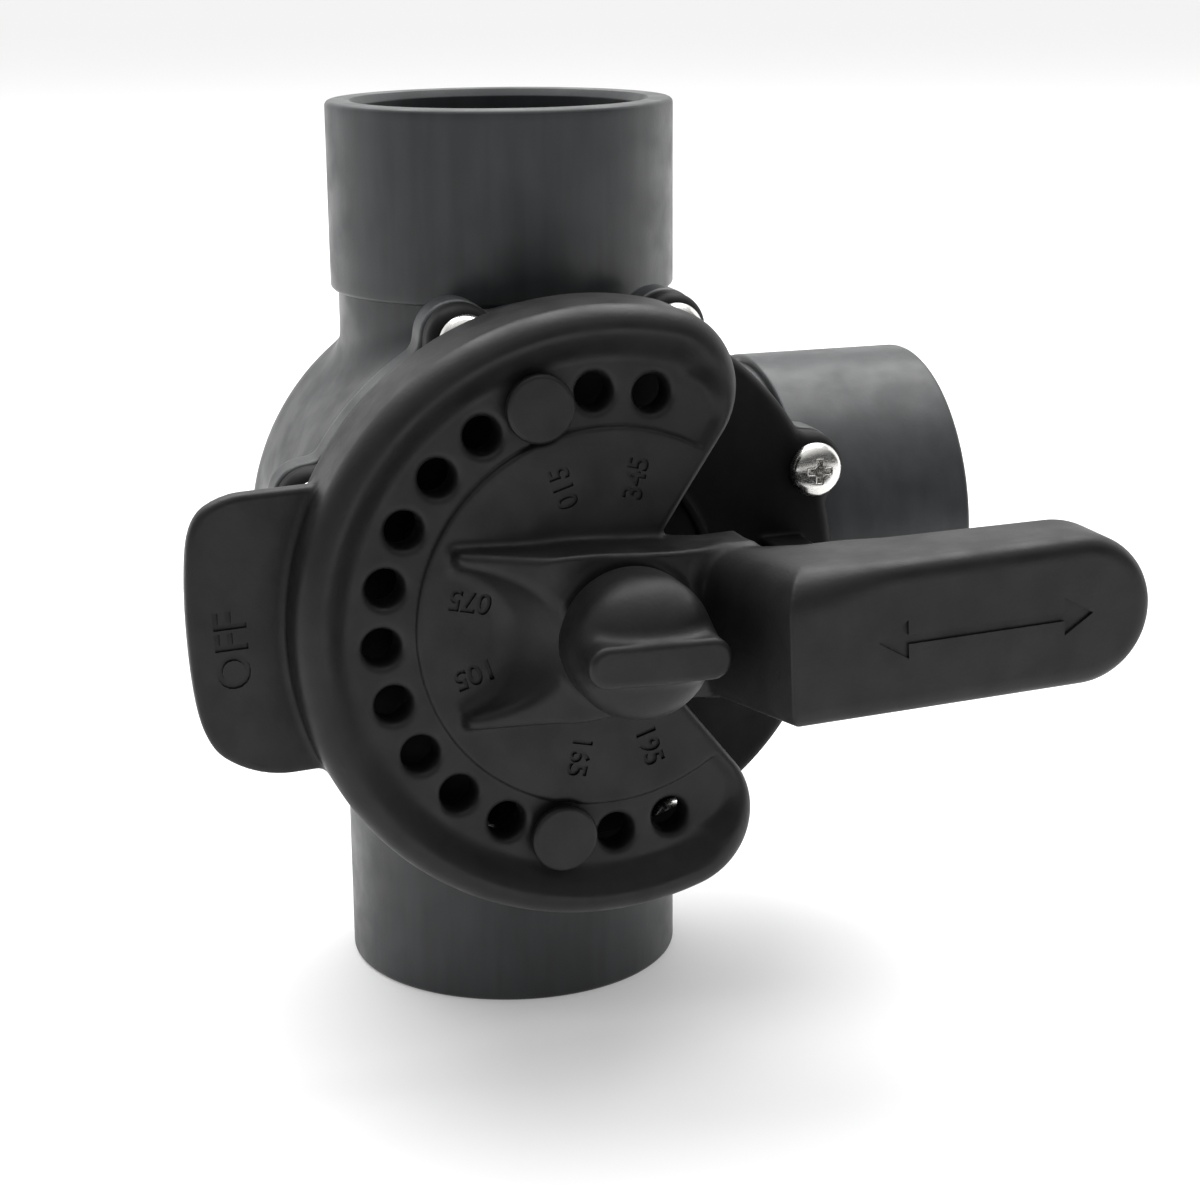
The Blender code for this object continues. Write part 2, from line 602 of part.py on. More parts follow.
def make_lock_knob(finishes, parent):
    """Threaded stud, washer, and the wing knob with its brass insert."""
    stud = ((STUD_RADIUS - 0.0006, STUD_BACK), (STUD_RADIUS, STUD_BACK - 0.0006),
            (STUD_RADIUS, STUD_FRONT + 0.0006), (STUD_RADIUS - 0.0006, STUD_FRONT))
    solid("stem_stud", turned(stud, 20), finishes["steel"], parent)

    washer = ((WASHER_HOLE_RADIUS, WASHER_BACK), (WASHER_RADIUS, WASHER_BACK),
              (WASHER_RADIUS, WASHER_FRONT), (WASHER_HOLE_RADIUS, WASHER_FRONT))
    solid("knob_washer", turned(washer, 28, closed=True), finishes["steel"], parent)

    dome = [(KNOB_RADIUS, KNOB_BACK)]
    for turn in (0, 18, 36, 54, 72):
        radius = KNOB_RADIUS * math.cos(math.radians(turn))
        dome.append((radius, KNOB_SHOULDER - KNOB_DOME * math.sin(math.radians(turn))))
    knob = solid("lock_knob", turned(dome, 28), finishes["handle"], parent)
    middle = WING_HALF_LENGTH - WING_HALF_WIDTH
    right = arc((middle, 0), WING_HALF_WIDTH, -90, 90, 8)
    left = arc((-middle, 0), WING_HALF_WIDTH, 90, 270, 8)
    wing = at_angle(prism(right + left, WING_FRONT, KNOB_BACK - 0.0015), math.degrees(WING_TURN))
    combine(knob, tool("wing_tool", wing, finishes["handle"], parent), "UNION")

    shell = INSERT_RADIUS + GAP
    cavity = ((shell, KNOB_BACK + 0.002), (shell, INSERT_FRONT - GAP),
              (WASHER_HOLE_RADIUS, INSERT_FRONT - GAP), (WASHER_HOLE_RADIUS, STUD_CLEAR_FRONT))
    hollow = tool("insert_cavity_tool", turned(cavity, 24), finishes["handle"], parent)
    combine(knob, hollow, "DIFFERENCE")

    bore = STUD_RADIUS + GAP
    insert = ((bore, KNOB_BACK), (INSERT_RADIUS, KNOB_BACK),
              (INSERT_RADIUS, INSERT_FRONT), (bore, INSERT_FRONT))
    solid("knob_insert", turned(insert, 24, closed=True), finishes["brass"], parent)


def main():
    for old in list(bpy.data.objects):
        bpy.data.objects.remove(old)
    finishes = {
        "body": material("casing_plastic", (0.048, 0.052, 0.056), 0.42),
        "cover": material("cover_plastic", (0.020, 0.021, 0.023), 0.45),
        "handle": material("handle_plastic", (0.018, 0.019, 0.020), 0.48),
        "diverter": material("diverter_plastic", (0.030, 0.031, 0.033), 0.40),
        "rubber": material("seal_rubber", (0.012, 0.012, 0.012), 0.70),
        "bearing": material("bearing_plastic", (0.80, 0.79, 0.75), 0.35),
        "steel": material("stainless_steel", (0.62, 0.60, 0.57), 0.22, 1.0),
        "brass": material("insert_brass", (0.72, 0.52, 0.22), 0.30, 1.0),
    }
    valve = empty("valve_axes", location=(0, -REAR_REACH, 0))
    rotor = empty("rotor_axis", valve, turn=REST_TURN)

    make_body(finishes["body"], valve)
    make_cover(finishes["cover"], valve)
    make_screws(finishes["steel"], valve)
    make_bearings(finishes["bearing"], valve)
    make_diverter(finishes["diverter"], rotor)
    make_seals(finishes["rubber"], valve, rotor)
    make_handle(finishes["handle"], rotor)
    make_stop_pins(finishes["handle"], rotor)
    make_lock_knob(finishes, rotor)


main()
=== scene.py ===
"""The looks of a plastic three way diverter valve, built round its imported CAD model.

The outer pieces are rebuilt as fine meshes from distance fields, so that every edge and corner has
the soft radius of a moulding. A field works in millimetres, counted from the crossing of the port
axes: X points to the side port, Y to the back, Z up. It is negative inside the material. The last
argument of slab, smooth_min, smooth_max and cut is always the radius of the rounded edge.
"""
import json
import math

import bmesh
import bpy
import numpy as np
from mathutils import Matrix, Vector


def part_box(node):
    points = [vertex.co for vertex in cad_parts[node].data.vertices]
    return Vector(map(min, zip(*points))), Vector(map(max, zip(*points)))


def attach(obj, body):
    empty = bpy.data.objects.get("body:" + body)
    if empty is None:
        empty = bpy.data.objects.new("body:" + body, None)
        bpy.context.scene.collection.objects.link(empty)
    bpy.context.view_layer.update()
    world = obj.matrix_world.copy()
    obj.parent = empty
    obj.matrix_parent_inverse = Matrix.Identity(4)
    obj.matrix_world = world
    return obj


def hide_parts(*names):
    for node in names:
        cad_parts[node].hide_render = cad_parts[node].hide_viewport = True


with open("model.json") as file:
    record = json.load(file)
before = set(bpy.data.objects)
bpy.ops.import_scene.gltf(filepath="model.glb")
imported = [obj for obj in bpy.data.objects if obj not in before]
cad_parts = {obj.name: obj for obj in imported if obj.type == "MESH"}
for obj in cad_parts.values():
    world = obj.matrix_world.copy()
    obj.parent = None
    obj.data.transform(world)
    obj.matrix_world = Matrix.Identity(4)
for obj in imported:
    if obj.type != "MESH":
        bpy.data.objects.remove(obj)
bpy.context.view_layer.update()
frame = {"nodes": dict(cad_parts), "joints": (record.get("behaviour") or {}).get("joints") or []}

MM = 0.001
JOINTS = {joint["name"]: joint for joint in frame["joints"]}
CENTRE = Vector(JOINTS["handle_turn"]["pos_m"])       # where the port axes cross
REST_TURN = 2.5                                       # the handle's angle at rest in degrees

# Casing, in millimetres
PORT_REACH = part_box("valve_body")[1].z / MM
REAR = -CENTRE.y / MM
COLLAR_RADIUS = 36.5
COLLAR_START = PORT_REACH - 39.0
NECK_RADIUS = 34.9
SOCKET_RADIUS = 30.2
SOCKET_START = PORT_REACH - 37.5
WATERWAY_RADIUS = 26.2
BARREL_RADIUS = 53.0
BARREL_FILLET = 25.0
CHAMBER_RADIUS = 44.0
CHAMBER_BACK = 34.0
FLANGE_RADIUS = 57.5
FLANGE_FRONT = -43.7
FLANGE_BACK = -36.5
EAR_RADIUS = 7.5
EAR_BACK = -34.5
EAR_COUNT = 8
EAR_OFFSET = 22.5
BOLT_CIRCLE = 56.0
COVER_BACK = -44.0
COVER_FRONT = -50.0
COVER_RIM = 3.0
COVER_BEAD_RADIUS = 29.0
COVER_BEAD_HEIGHT = 1.2
NECK_RING_RADIUS = 18.0
NECK_RING_FRONT = -58.0
STEM_BORE_RADIUS = 11.3
STOP_LUG_X = (40.0, 49.0)
STOP_LUG_Y = (-62.0, -48.0)
STOP_LUG_HALF = 7.9
SCREW_SEAT = -50.3
SCREW_HEAD_RADIUS = 5.65
SCREW_HEAD_HEIGHT = 3.4
SCREW_CROWN = 9.0
SCREW_RADIUS = 2.4
SCREW_TIP = -37.2
RECESS_ARM = 2.9
RECESS_BLADE = 0.62
RECESS_CORE = 1.3
RECESS_DEPTH = 2.2
RECESS_TAPER_DEPTH = 2.4

# Handle, in millimetres
DIAL_RADIUS = 61.0
LOBE_RADIUS = 16.0
LOBE_REACH = 28.7
MOUTH_ROOT = (13.5, 17.0)
SKIRT_INNER = 57.2
SKIRT_BACK = -54.5
DIAL_BACK = -66.0
PEG_BAND_FRONT = -70.5
DISC_FACE = -71.5
BAND_INNER = 38.0
LIP_WIDTH = 11.0
LIP_HEIGHT = 3.5
LIP_ROUND = 5.0
MOUTH_LIP_WIDTH = 4.0
MOUTH_LIP_HEIGHT = 1.0
MOUTH_LIP_ROUND = 1.8
PEG_CIRCLE = 44.4
PEG_HOLE_RADIUS = 3.6
PEG_STEP = 15
PEG_ANGLES = [75 + PEG_STEP * i for i in range(15)]
STOP_PEG_ANGLES = {"stop_pin_upper": 105, "stop_pin_lower": 255}
STOP_POCKET_RADIUS = 7.3
SLEEVE_RADIUS = 5.4
SLEEVE_BACK = -62.8
RIB_RADIUS = 51.2
RIB_HALF = 1.0
RIB_BACK = -55.2
STEM_SOCKET_FRONT = -79.0
STUD_HOLE_RADIUS = 4.6
HUB_FRONT = -83.0
HUB_HALF = 16.5
HUB_TAPER = 1.8
HORN_X = -30.0
HORN_FLARE = 1.2
HUB_SLOPE_X = -12.0
HUB_SLOPE = 0.45
HUB_BOSS_RADIUS = 15.0
HUB_LIFT = 6.0                  # how far the hub's back is drawn forward beside the dial's mouth
SCOOP_FLOOR_X = -35.5
SCOOP_LEAN = 0.84
SCOOP_RADIUS = 15.1
ARM_FRONT = -110.0
ARM_HALF = 14.7
ARM_INNER_X = 22.8
ARM_FOOT_X = 15.0
ARM_TIP_X = 97.0
ARM_SIDE = ((ARM_INNER_X, ARM_FRONT), (ARM_TIP_X + 5, ARM_FRONT), (ARM_TIP_X + 5, -92.5),
            (50.0, -88.5), (36.0, -84.5), (26.0, -78.5), (ARM_FOOT_X, -74.0),
            (ARM_FOOT_X, HUB_FRONT))
TAB_FRONT = -62.0
TAB_BACK = -58.0
TAB_END_X = -79.4
TAB_TOP = 30.8
TAB_BOTTOM = -25.2
TAB_TOP_CORNER = 15.0
TAB_BOTTOM_CORNER = 20.0
TAB_BOW = 130.0

# Knob, in millimetres
KNOB_BACK = -84.6
KNOB_RADIUS = 14.0
KNOB_SHOULDER = -91.5
KNOB_DOME = 11.0
WING_FRONT = -104.0
WING_HALF_LENGTH = 13.7
WING_HALF_WIDTH = 4.0
WING_TURN = -3.0
KNOB_BORE_RADIUS = 6.5
KNOB_BORE_FRONT = -94.3

# Stop pins, in millimetres
PIN_HEAD_RADIUS = 6.7
PIN_HEAD_FRONT = -74.0
PIN_HEAD_BACK = -71.8
PIN_COLLAR_RADIUS = 5.0
PIN_COLLAR_BACK = -70.8
PIN_RADIUS = 3.3
PIN_TIP = -56.5

# Engraving, in millimetres
ENGRAVING_DEPTH = 0.6
NUMBER_ANGLES = (75, 105, 165, 195, 255, 285)
NUMBER_HEIGHT = 4.0
NUMBER_CIRCLE = 28.0
OFF_HEIGHT = 6.2
OFF_PLACE = (-71.0, 1.0)
ARROW_HALF_LENGTH = 22.0
ARROW_HALF_WIDTH = 0.9
ARROW_HEAD = 6.0

# Camera: yaw, pitch and roll in degrees, the rest in millimetres
CAMERA_TURNS = (17.74, 15.37, -0.46)
CAMERA_LENS = 73.6
CAMERA_TARGET = (21.4, 0, -16.7)
CAMERA_DISTANCE = 550.5

# Brightness of the surroundings
WORLD_FRONT = 0.11
WORLD_BACK = 1.1
WORLD_TOP = 1.0


# ---------------------------------------------------------------- distance fields

def smooth_min(a, b, k):
    """Union of two fields with a fillet of about k."""
    h = np.maximum(k - np.abs(a - b), 0) / k
    return np.minimum(a, b) - h * h * (k / 4)


def smooth_max(a, b, k):
    """Intersection of two fields with a rounded edge of about k."""
    return -smooth_min(-a, -b, k)


def cut(a, b, k):
    """Field a without field b."""
    return smooth_max(a, -b, k)


def disc(u, v, radius, centre=(0.0, 0.0)):
    """Plan field of a disc."""
    return np.hypot(u - centre[0], v - centre[1]) - radius


def rounded_box(u, v, half_u, half_v, radius):
    """Plan field of a rectangle with round corners."""
    du = np.abs(u) - half_u + radius
    dv = np.abs(v) - half_v + radius
    outside = np.hypot(np.maximum(du, 0), np.maximum(dv, 0))
    return outside + np.minimum(np.maximum(du, dv), 0) - radius


def slab(plan, y, front, back, radius):
    """A plan field drawn out from front to back, with its rims rounded."""
    depth = np.abs(y - (front + back) / 2) - (back - front) / 2 + radius
    side = plan + radius
    outside = np.hypot(np.maximum(side, 0), np.maximum(depth, 0))
    return outside + np.minimum(np.maximum(side, depth), 0) - radius


def polygon(u, v, points):
    """Plan field of a closed polygon."""
    u, v = np.broadcast_arrays(u, v)
    best = np.full(u.shape, 1e9, dtype=np.float32)
    inside = np.zeros(u.shape, dtype=bool)
    for (au, av), (bu, bv) in zip(points, points[1:] + points[:1]):
        eu, ev = bu - au, bv - av
        t = np.clip(((u - au) * eu + (v - av) * ev) / (eu * eu + ev * ev), 0, 1)
        best = np.minimum(best, np.hypot(u - au - t * eu, v - av - t * ev))
        crosses = (av > v) != (bv > v)
        if ev:
            inside ^= crosses & (u < au + (v - av) * eu / ev)
    return np.where(inside, -best, best)


def ramp(value, low, high):
    """0 below low, 1 above high, smooth between."""
    t = np.clip((value - low) / (high - low), 0, 1)
    return t * t * (3 - 2 * t)


def ear_angles():
    """Angles of the ears and their screws in degrees."""
    return [EAR_OFFSET + 360 / EAR_COUNT * i for i in range(EAR_COUNT)]


def round_place(radius, degrees):
    """Plan position at an angle, anticlockwise from +X seen from the front."""
    turn = math.radians(degrees)
    return (radius * math.cos(turn), radius * math.sin(turn))


def eared_plate(x, z, radius, ear_radius):
    """Plan field of the flange: a disc with round ears."""
    plan = disc(x, z, radius)
    turn = np.arctan2(z, x)
    pitch = 2 * math.pi / EAR_COUNT
    off = (turn - math.radians(EAR_OFFSET) + pitch / 2) % pitch - pitch / 2
    reach = np.hypot(x, z)
    ears = disc(reach * np.cos(off), reach * np.sin(off), ear_radius, (BOLT_CIRCLE, 0))
    return smooth_min(plan, ears, 2.5)


def casing_field(x, y, z):
    """The casing without its collars."""
    rear_round = np.where(y > 0, BARREL_FILLET, 1.0)
    body = slab(disc(x, z, BARREL_RADIUS), y, FLANGE_FRONT, REAR, rear_round)
    upright = slab(disc(x, y, NECK_RADIUS), z, -SOCKET_START, SOCKET_START, 0.2)
    side = slab(disc(y, z, NECK_RADIUS), x, 0.0, SOCKET_START, 0.2)
    body = smooth_min(smooth_min(body, upright, 5.0), side, 5.0)
    flange = slab(eared_plate(x, z, FLANGE_RADIUS, EAR_RADIUS), y, FLANGE_FRONT, FLANGE_BACK, 0.8)
    bosses = slab(eared_plate(x, z, 50.0, EAR_RADIUS - 0.6), y, FLANGE_FRONT, EAR_BACK, 0.8)
    body = smooth_min(body, np.minimum(flange, bosses), 2.0)
    body = cut(body, slab(disc(x, z, CHAMBER_RADIUS), y, FLANGE_FRONT - 9, CHAMBER_BACK, 1.5), 0.8)
    body = cut(body, disc(x, y, WATERWAY_RADIUS), 1.2)
    return cut(body, np.maximum(disc(y, z, WATERWAY_RADIUS), -x), 1.2)


def cover_field(x, y, z):
    """The cover's visible half: eared plate, neck ring and stop lug."""
    plan = eared_plate(x, z, FLANGE_RADIUS - 0.5, EAR_RADIUS - 0.3)
    plate = slab(plan, y, COVER_FRONT, COVER_BACK + 4, COVER_RIM)
    plate = smooth_max(plate, y - COVER_BACK, 0.6)
    bead = np.abs(np.hypot(x, z) - COVER_BEAD_RADIUS) - 0.9
    bead = slab(bead, y, COVER_FRONT - COVER_BEAD_HEIGHT, COVER_FRONT + 2, 0.5)
    plate = smooth_min(plate, bead, 1.0)
    neck = slab(disc(x, z, NECK_RING_RADIUS), y, NECK_RING_FRONT, COVER_FRONT + 2, 0.8)
    plate = smooth_min(plate, neck, 3.0)
    x0, x1 = STOP_LUG_X
    lug = rounded_box(x - (x0 + x1) / 2, z, (x1 - x0) / 2, STOP_LUG_HALF, 0.8)
    plate = smooth_min(plate, slab(lug, y, *STOP_LUG_Y, 0.8), 1.2)
    return cut(plate, disc(x, z, STEM_BORE_RADIUS), 0.8)


def dial_plan(x, z):
    """The C-shaped dial in plan: its field, the depth inside its rim, and 0 to 1 round the lobes.

    Behind the lobes the rim is one round arc. Each lobe is a round end of that arc, and a straight
    edge runs from it to the root of the mouth, where the dial meets the hub.
    """
    mirrored = np.abs(z)
    reach = DIAL_RADIUS - LOBE_RADIUS
    lobe_x = LOBE_REACH - LOBE_RADIUS
    lobe_z = math.sqrt(reach ** 2 - lobe_x ** 2)
    to_lobe = (lobe_x - MOUTH_ROOT[0], lobe_z - MOUTH_ROOT[1])
    slope = math.atan2(to_lobe[1], to_lobe[0]) - math.asin(LOBE_RADIUS / math.hypot(*to_lobe))
    mouth = math.sin(slope) * (x - MOUTH_ROOT[0]) - math.cos(slope) * (mirrored - MOUTH_ROOT[1])
    across = math.cos(slope) * (x - lobe_x) + math.sin(slope) * (mirrored - lobe_z)
    past_lobe = (lobe_z * x - lobe_x * mirrored) / reach
    outwards = (lobe_x * x + lobe_z * mirrored) / reach - reach
    back = np.maximum(disc(x, z, DIAL_RADIUS), past_lobe)
    lobes = disc(x, mirrored, LOBE_RADIUS, (lobe_x, lobe_z))
    web = np.maximum(np.maximum(mouth, across), -past_lobe)
    outline = np.minimum(np.minimum(back, lobes), web)
    depth = np.where(past_lobe < 0, -disc(x, z, DIAL_RADIUS), np.where(across < 0, -mouth, -lobes))
    last = math.atan2(lobe_z, lobe_x) + math.pi / 2 - slope
    round_lobe = ramp(np.arctan2(np.maximum(past_lobe, 0), outwards), 0.35 * last, last)
    return outline, depth, np.where(past_lobe < 0, 0, round_lobe)


def dial_top(x, z):
    """Y of the dial's front: raised disc, sunk peg band, and a lip that thins out at the mouth."""
    _, depth, round_lobe = dial_plan(x, z)
    band = ramp(np.hypot(x, z), BAND_INNER - 0.5, BAND_INNER)
    for angle in STOP_PEG_ANGLES.values():
        pocket = disc(x, z, STOP_POCKET_RADIUS, round_place(PEG_CIRCLE, angle))
        band = np.maximum(band, 1 - ramp(pocket, -0.4, 0.1))
    floor = DISC_FACE + (PEG_BAND_FRONT - DISC_FACE) * band
    depth = np.maximum(depth, 0)
    height = LIP_HEIGHT + (MOUTH_LIP_HEIGHT - LIP_HEIGHT) * round_lobe
    width = LIP_WIDTH + (MOUTH_LIP_WIDTH - LIP_WIDTH) * round_lobe
    radius = LIP_ROUND + (MOUTH_LIP_ROUND - LIP_ROUND) * round_lobe
    to_edge = np.clip(radius - depth, 0, None)
    rounding = radius - np.sqrt(radius ** 2 - np.minimum(to_edge, radius) ** 2)
    inner = height * ramp(depth, 0.36 * width, width)
    lip = PEG_BAND_FRONT - height + inner
    return np.minimum(lip, floor) + rounding


def dial_field(x, y, z):
    """The dial: front face, outline, and a hollow back with a rib and with sleeves at the holes."""
    outline, _, _ = dial_plan(x, z)
    top = (dial_top(x, z) - y) * 0.8
    dial = smooth_max(np.maximum(outline, top), y - SKIRT_BACK, 1.0)
    sleeves = slab(peg_plan(x, z, SLEEVE_RADIUS), y, DIAL_BACK - 2, SLEEVE_BACK, 0.5)
    hollow = np.maximum(np.hypot(x, z) - SKIRT_INNER, DIAL_BACK - y)
    rib = slab(np.abs(np.hypot(x, z) - RIB_RADIUS) - RIB_HALF, y, DIAL_BACK - 1, RIB_BACK, 0.4)
    rib = np.maximum(rib, outline + 1)
    return smooth_min(smooth_min(cut(dial, hollow, 0.8), sleeves, 0.8), rib, 0.8)


def peg_plan(x, z, radius):
    """Plan field of equal discs at the peg holes."""
    reach = np.hypot(x, z)
    turn = np.degrees(np.arctan2(z, x)) % 360
    first, last = PEG_ANGLES[0], PEG_ANGLES[-1]
    nearest = np.clip(np.round((turn - first) / PEG_STEP) * PEG_STEP + first, first, last)
    off = np.radians(turn - nearest)
    return disc(reach * np.cos(off), reach * np.sin(off), radius, (PEG_CIRCLE, 0))


def hub_field(x, y, z):
    """The raised hub: two horns round a scoop, a front that slopes to them, and a round boss."""
    end = ARM_INNER_X + 4
    half = HUB_HALF + HORN_FLARE * ramp(-x, 12, 32) - HUB_TAPER * ramp(x, -10, 15)
    plan = rounded_box(x - (HORN_X + end) / 2, z, (end - HORN_X) / 2, half, 1.2)
    hub = slab(plan, y, HUB_FRONT, DIAL_BACK - 1, 1.0)
    slope = HUB_FRONT + (HUB_SLOPE_X - x) * HUB_SLOPE
    hub = smooth_max(hub, (slope - y) / math.hypot(1, HUB_SLOPE), 2.0)
    back = DIAL_BACK - HUB_LIFT * ramp(x, 8, 20)
    hub = smooth_max(hub, y - back, 1.0)
    hub = smooth_min(hub, slab(disc(x, z, HUB_BOSS_RADIUS), y, HUB_FRONT, DIAL_BACK, 0.8), 1.0)
    scoop_x = SCOOP_FLOOR_X + SCOOP_LEAN * np.clip(DISC_FACE - y, 0, 12)
    return smooth_max(hub, -disc(x - scoop_x, z, SCOOP_RADIUS) * 0.8, 1.2)


def arm_field(x, y, z):
    """The arm: a wedge seen from above, with a round tip and a rounder upper corner at the hub."""
    side = polygon(x, y, list(ARM_SIDE))
    middle = (ARM_FOOT_X - 4 + ARM_TIP_X) / 2
    half = (ARM_TIP_X - ARM_FOOT_X + 4) / 2
    plan = rounded_box(x - middle, z, half, ARM_HALF, ARM_HALF)
    plan = np.where(x < middle, np.abs(z) - ARM_HALF, plan)
    sharper = np.maximum(ramp(x, ARM_INNER_X, 45), ramp(-z, -6, 2))
    return smooth_max(side, plan, 9.0 - 5.0 * sharper)


def tab_field(x, y, z):
    """The OFF tab: a thin plate with two unequal round corners and a bowed end."""
    middle = TAB_END_X / 2 - 12
    level = (TAB_TOP + TAB_BOTTOM) / 2
    corner = np.where(z > level, TAB_TOP_CORNER, TAB_BOTTOM_CORNER)
    half = (TAB_TOP - TAB_BOTTOM) / 2
    plan = rounded_box(x - middle, z - level, middle - TAB_END_X + 2, half, corner)
    plan = smooth_max(plan, disc(x, z - level, TAB_BOW, (TAB_END_X + TAB_BOW, 0)), 3.0)
    plate = slab(plan, y, TAB_FRONT, TAB_BACK, 1.3)
    return np.maximum(plate, SKIRT_INNER + 1.5 - np.hypot(x, z))


def handle_field(x, y, z):
    """The whole handle moulding, square to the ports."""
    whole = smooth_min(dial_field(x, y, z), tab_field(x, y, z), 1.5)
    grip = smooth_min(hub_field(x, y, z), arm_field(x, y, z), 2.5)
    whole = smooth_min(whole, grip, 2.0)
    whole = cut(whole, np.maximum(peg_plan(x, z, PEG_HOLE_RADIUS), HUB_FRONT + 5 - y), 1.6)
    socket = slab(disc(x, z, STEM_BORE_RADIUS), y, STEM_SOCKET_FRONT, SKIRT_BACK + 4.5, 0.3)
    return cut(cut(whole, socket, 0.6), disc(x, z, STUD_HOLE_RADIUS), 0.8)


def knob_field(x, y, z):
    """The wing knob: a dome with a bar across it."""
    reach = np.hypot(x, z)
    stretch = KNOB_RADIUS / KNOB_DOME
    ahead = np.minimum(y - KNOB_SHOULDER, 0) * stretch
    dome = (np.hypot(reach, ahead) - KNOB_RADIUS) / stretch
    dome = smooth_max(dome, y - KNOB_BACK, 1.2)
    turn = math.radians(WING_TURN)
    along = x * math.cos(turn) + z * math.sin(turn)
    over = z * math.cos(turn) - x * math.sin(turn)
    plan = rounded_box(along, over, WING_HALF_LENGTH, WING_HALF_WIDTH, WING_HALF_WIDTH - 0.2)
    wing = slab(plan, y, WING_FRONT, KNOB_BACK - 1.5, 1.3)
    knob = smooth_min(dome, wing, 2.2)
    bore = slab(disc(x, z, KNOB_BORE_RADIUS), y, KNOB_BORE_FRONT, KNOB_BACK + 14.6, 0.3)
    return cut(knob, bore, 0.5)


def screw_field(x, y, z):
    """One screw on its own axis: pan head with a cross recess, and a plain shank."""
    reach = np.hypot(x, z)
    top = SCREW_SEAT - SCREW_HEAD_HEIGHT
    head = slab(reach - SCREW_HEAD_RADIUS, y, top, SCREW_SEAT, 0.5)
    head = smooth_max(head, np.hypot(reach, y - (top + SCREW_CROWN)) - SCREW_CROWN, 1.2)
    shank = slab(reach - SCREW_RADIUS, y, SCREW_SEAT - 0.5, SCREW_TIP, 0.5)
    taper = np.clip((y - top) / RECESS_TAPER_DEPTH, 0, 1)
    arm = RECESS_ARM - 1.5 * taper
    blade = RECESS_BLADE - 0.12 * taper
    level = np.maximum(np.abs(x) - arm, np.abs(z) - blade)
    upright = np.maximum(np.abs(z) - arm, np.abs(x) - blade)
    cross = np.minimum(np.minimum(level, upright), reach - (RECESS_CORE - 0.5 * taper))
    return cut(np.minimum(head, shank), np.maximum(cross, y - (top + RECESS_DEPTH)), 0.25)


# ---------------------------------------------------------------- meshes from fields

EDGE_STARTS = [((0, 0, 0), 0), ((0, 1, 0), 0), ((0, 0, 1), 0), ((0, 1, 1), 0),
               ((0, 0, 0), 1), ((1, 0, 0), 1), ((0, 0, 1), 1), ((1, 0, 1), 1),
               ((0, 0, 0), 2), ((1, 0, 0), 2), ((0, 1, 0), 2), ((1, 1, 0), 2)]


def cell_points(values, base):
    """Places one vertex in each cell that the surface crosses: the mean of its edge crossings."""
    total = np.zeros((len(base), 3), dtype=np.float32)
    hits = np.zeros(len(base), dtype=np.float32)
    for start, axis in EDGE_STARTS:
        low = base + np.array(start)
        high = low.copy()
        high[:, axis] += 1
        a = values[tuple(low.T)]
        b = values[tuple(high.T)]
        crossed = (a < 0) != (b < 0)
        t = a[crossed] / (a[crossed] - b[crossed])
        point = low[crossed].astype(np.float32)
        point[:, axis] += t
        total[crossed] += point
        hits[crossed] += 1
    return total / hits[:, None]


def cell_quads(inside, index):
    """One quad for each grid edge that the surface crosses, facing out."""
    quads = []
    for axis in range(3):
        v, w = (axis + 1) % 3, (axis + 2) % 3
        low = np.take(inside, range(inside.shape[axis] - 1), axis=axis)
        high = np.take(inside, range(1, inside.shape[axis]), axis=axis)
        edges = np.argwhere(low != high)
        outward = low[tuple(edges.T)]
        step_v, step_w = np.eye(3, dtype=int)[v], np.eye(3, dtype=int)[w]
        corners = [edges, edges - step_v, edges - step_v - step_w, edges - step_w]
        quad = np.stack([index[tuple(corner.T)] for corner in corners], axis=1)
        quad[~outward] = quad[~outward][:, ::-1]
        quads.append(quad)
    return np.concatenate(quads)


def settle(field, points, step):
    """Moves points onto the field's surface by Newton steps."""
    reach = 0.2 * step
    start = points.copy()
    for _ in range(3):
        value = field(*points.T)
        slope = np.empty_like(points)
        for axis in range(3):
            offset = np.zeros(3, dtype=points.dtype)
            offset[axis] = reach
            rise = field(*(points + offset).T) - field(*(points - offset).T)
            slope[:, axis] = rise / (2 * reach)
        size = np.maximum((slope ** 2).sum(1), 0.05)
        points = points - slope * (value / size)[:, None]
        points = start + np.clip(points - start, -0.7 * step, 0.7 * step)
    return points


def mesh_from_field(name, field, low, high, step):
    """A closed quad mesh of the field's zero surface, in metres and in the frame's place."""
    axes = [np.arange(a, b + step, step, dtype=np.float32) for a, b in zip(low, high)]
    places = np.meshgrid(*axes, indexing="ij", sparse=True)
    size = [len(axis) for axis in axes]
    values = np.array(np.broadcast_to(field(*places), size), dtype=np.float32)
    inside = values < 0
    cells = [n - 1 for n in values.shape]
    count = np.zeros(cells, dtype=np.int8)
    for i in (0, 1):
        for j in (0, 1):
            for k in (0, 1):
                count += inside[i:i + cells[0], j:j + cells[1], k:k + cells[2]]
    active = (count > 0) & (count < 8)
    base = np.argwhere(active)
    index = np.full(cells, -1, dtype=np.int32)
    index[active] = np.arange(len(base))
    points = np.array(low) + step * cell_points(values, base).astype(np.float64)
    points = settle(field, points, step)
    return quad_mesh(name, points, cell_quads(inside, index))


def quad_mesh(name, points, quads):
    """A mesh from arrays of points in millimetres and of quads."""
    mesh = bpy.data.meshes.new(name)
    mesh.vertices.add(len(points))
    mesh.vertices.foreach_set("co", (points * MM).astype(np.float32).ravel())
    mesh.loops.add(4 * len(quads))
    mesh.loops.foreach_set("vertex_index", quads.astype(np.int32).ravel())
    mesh.polygons.add(len(quads))
    mesh.polygons.foreach_set("loop_start", np.arange(0, 4 * len(quads), 4, dtype=np.int32))
    mesh.update(calc_edges=True)
    mesh.shade_smooth()
    mesh.transform(Matrix.Translation(CENTRE))
    return mesh


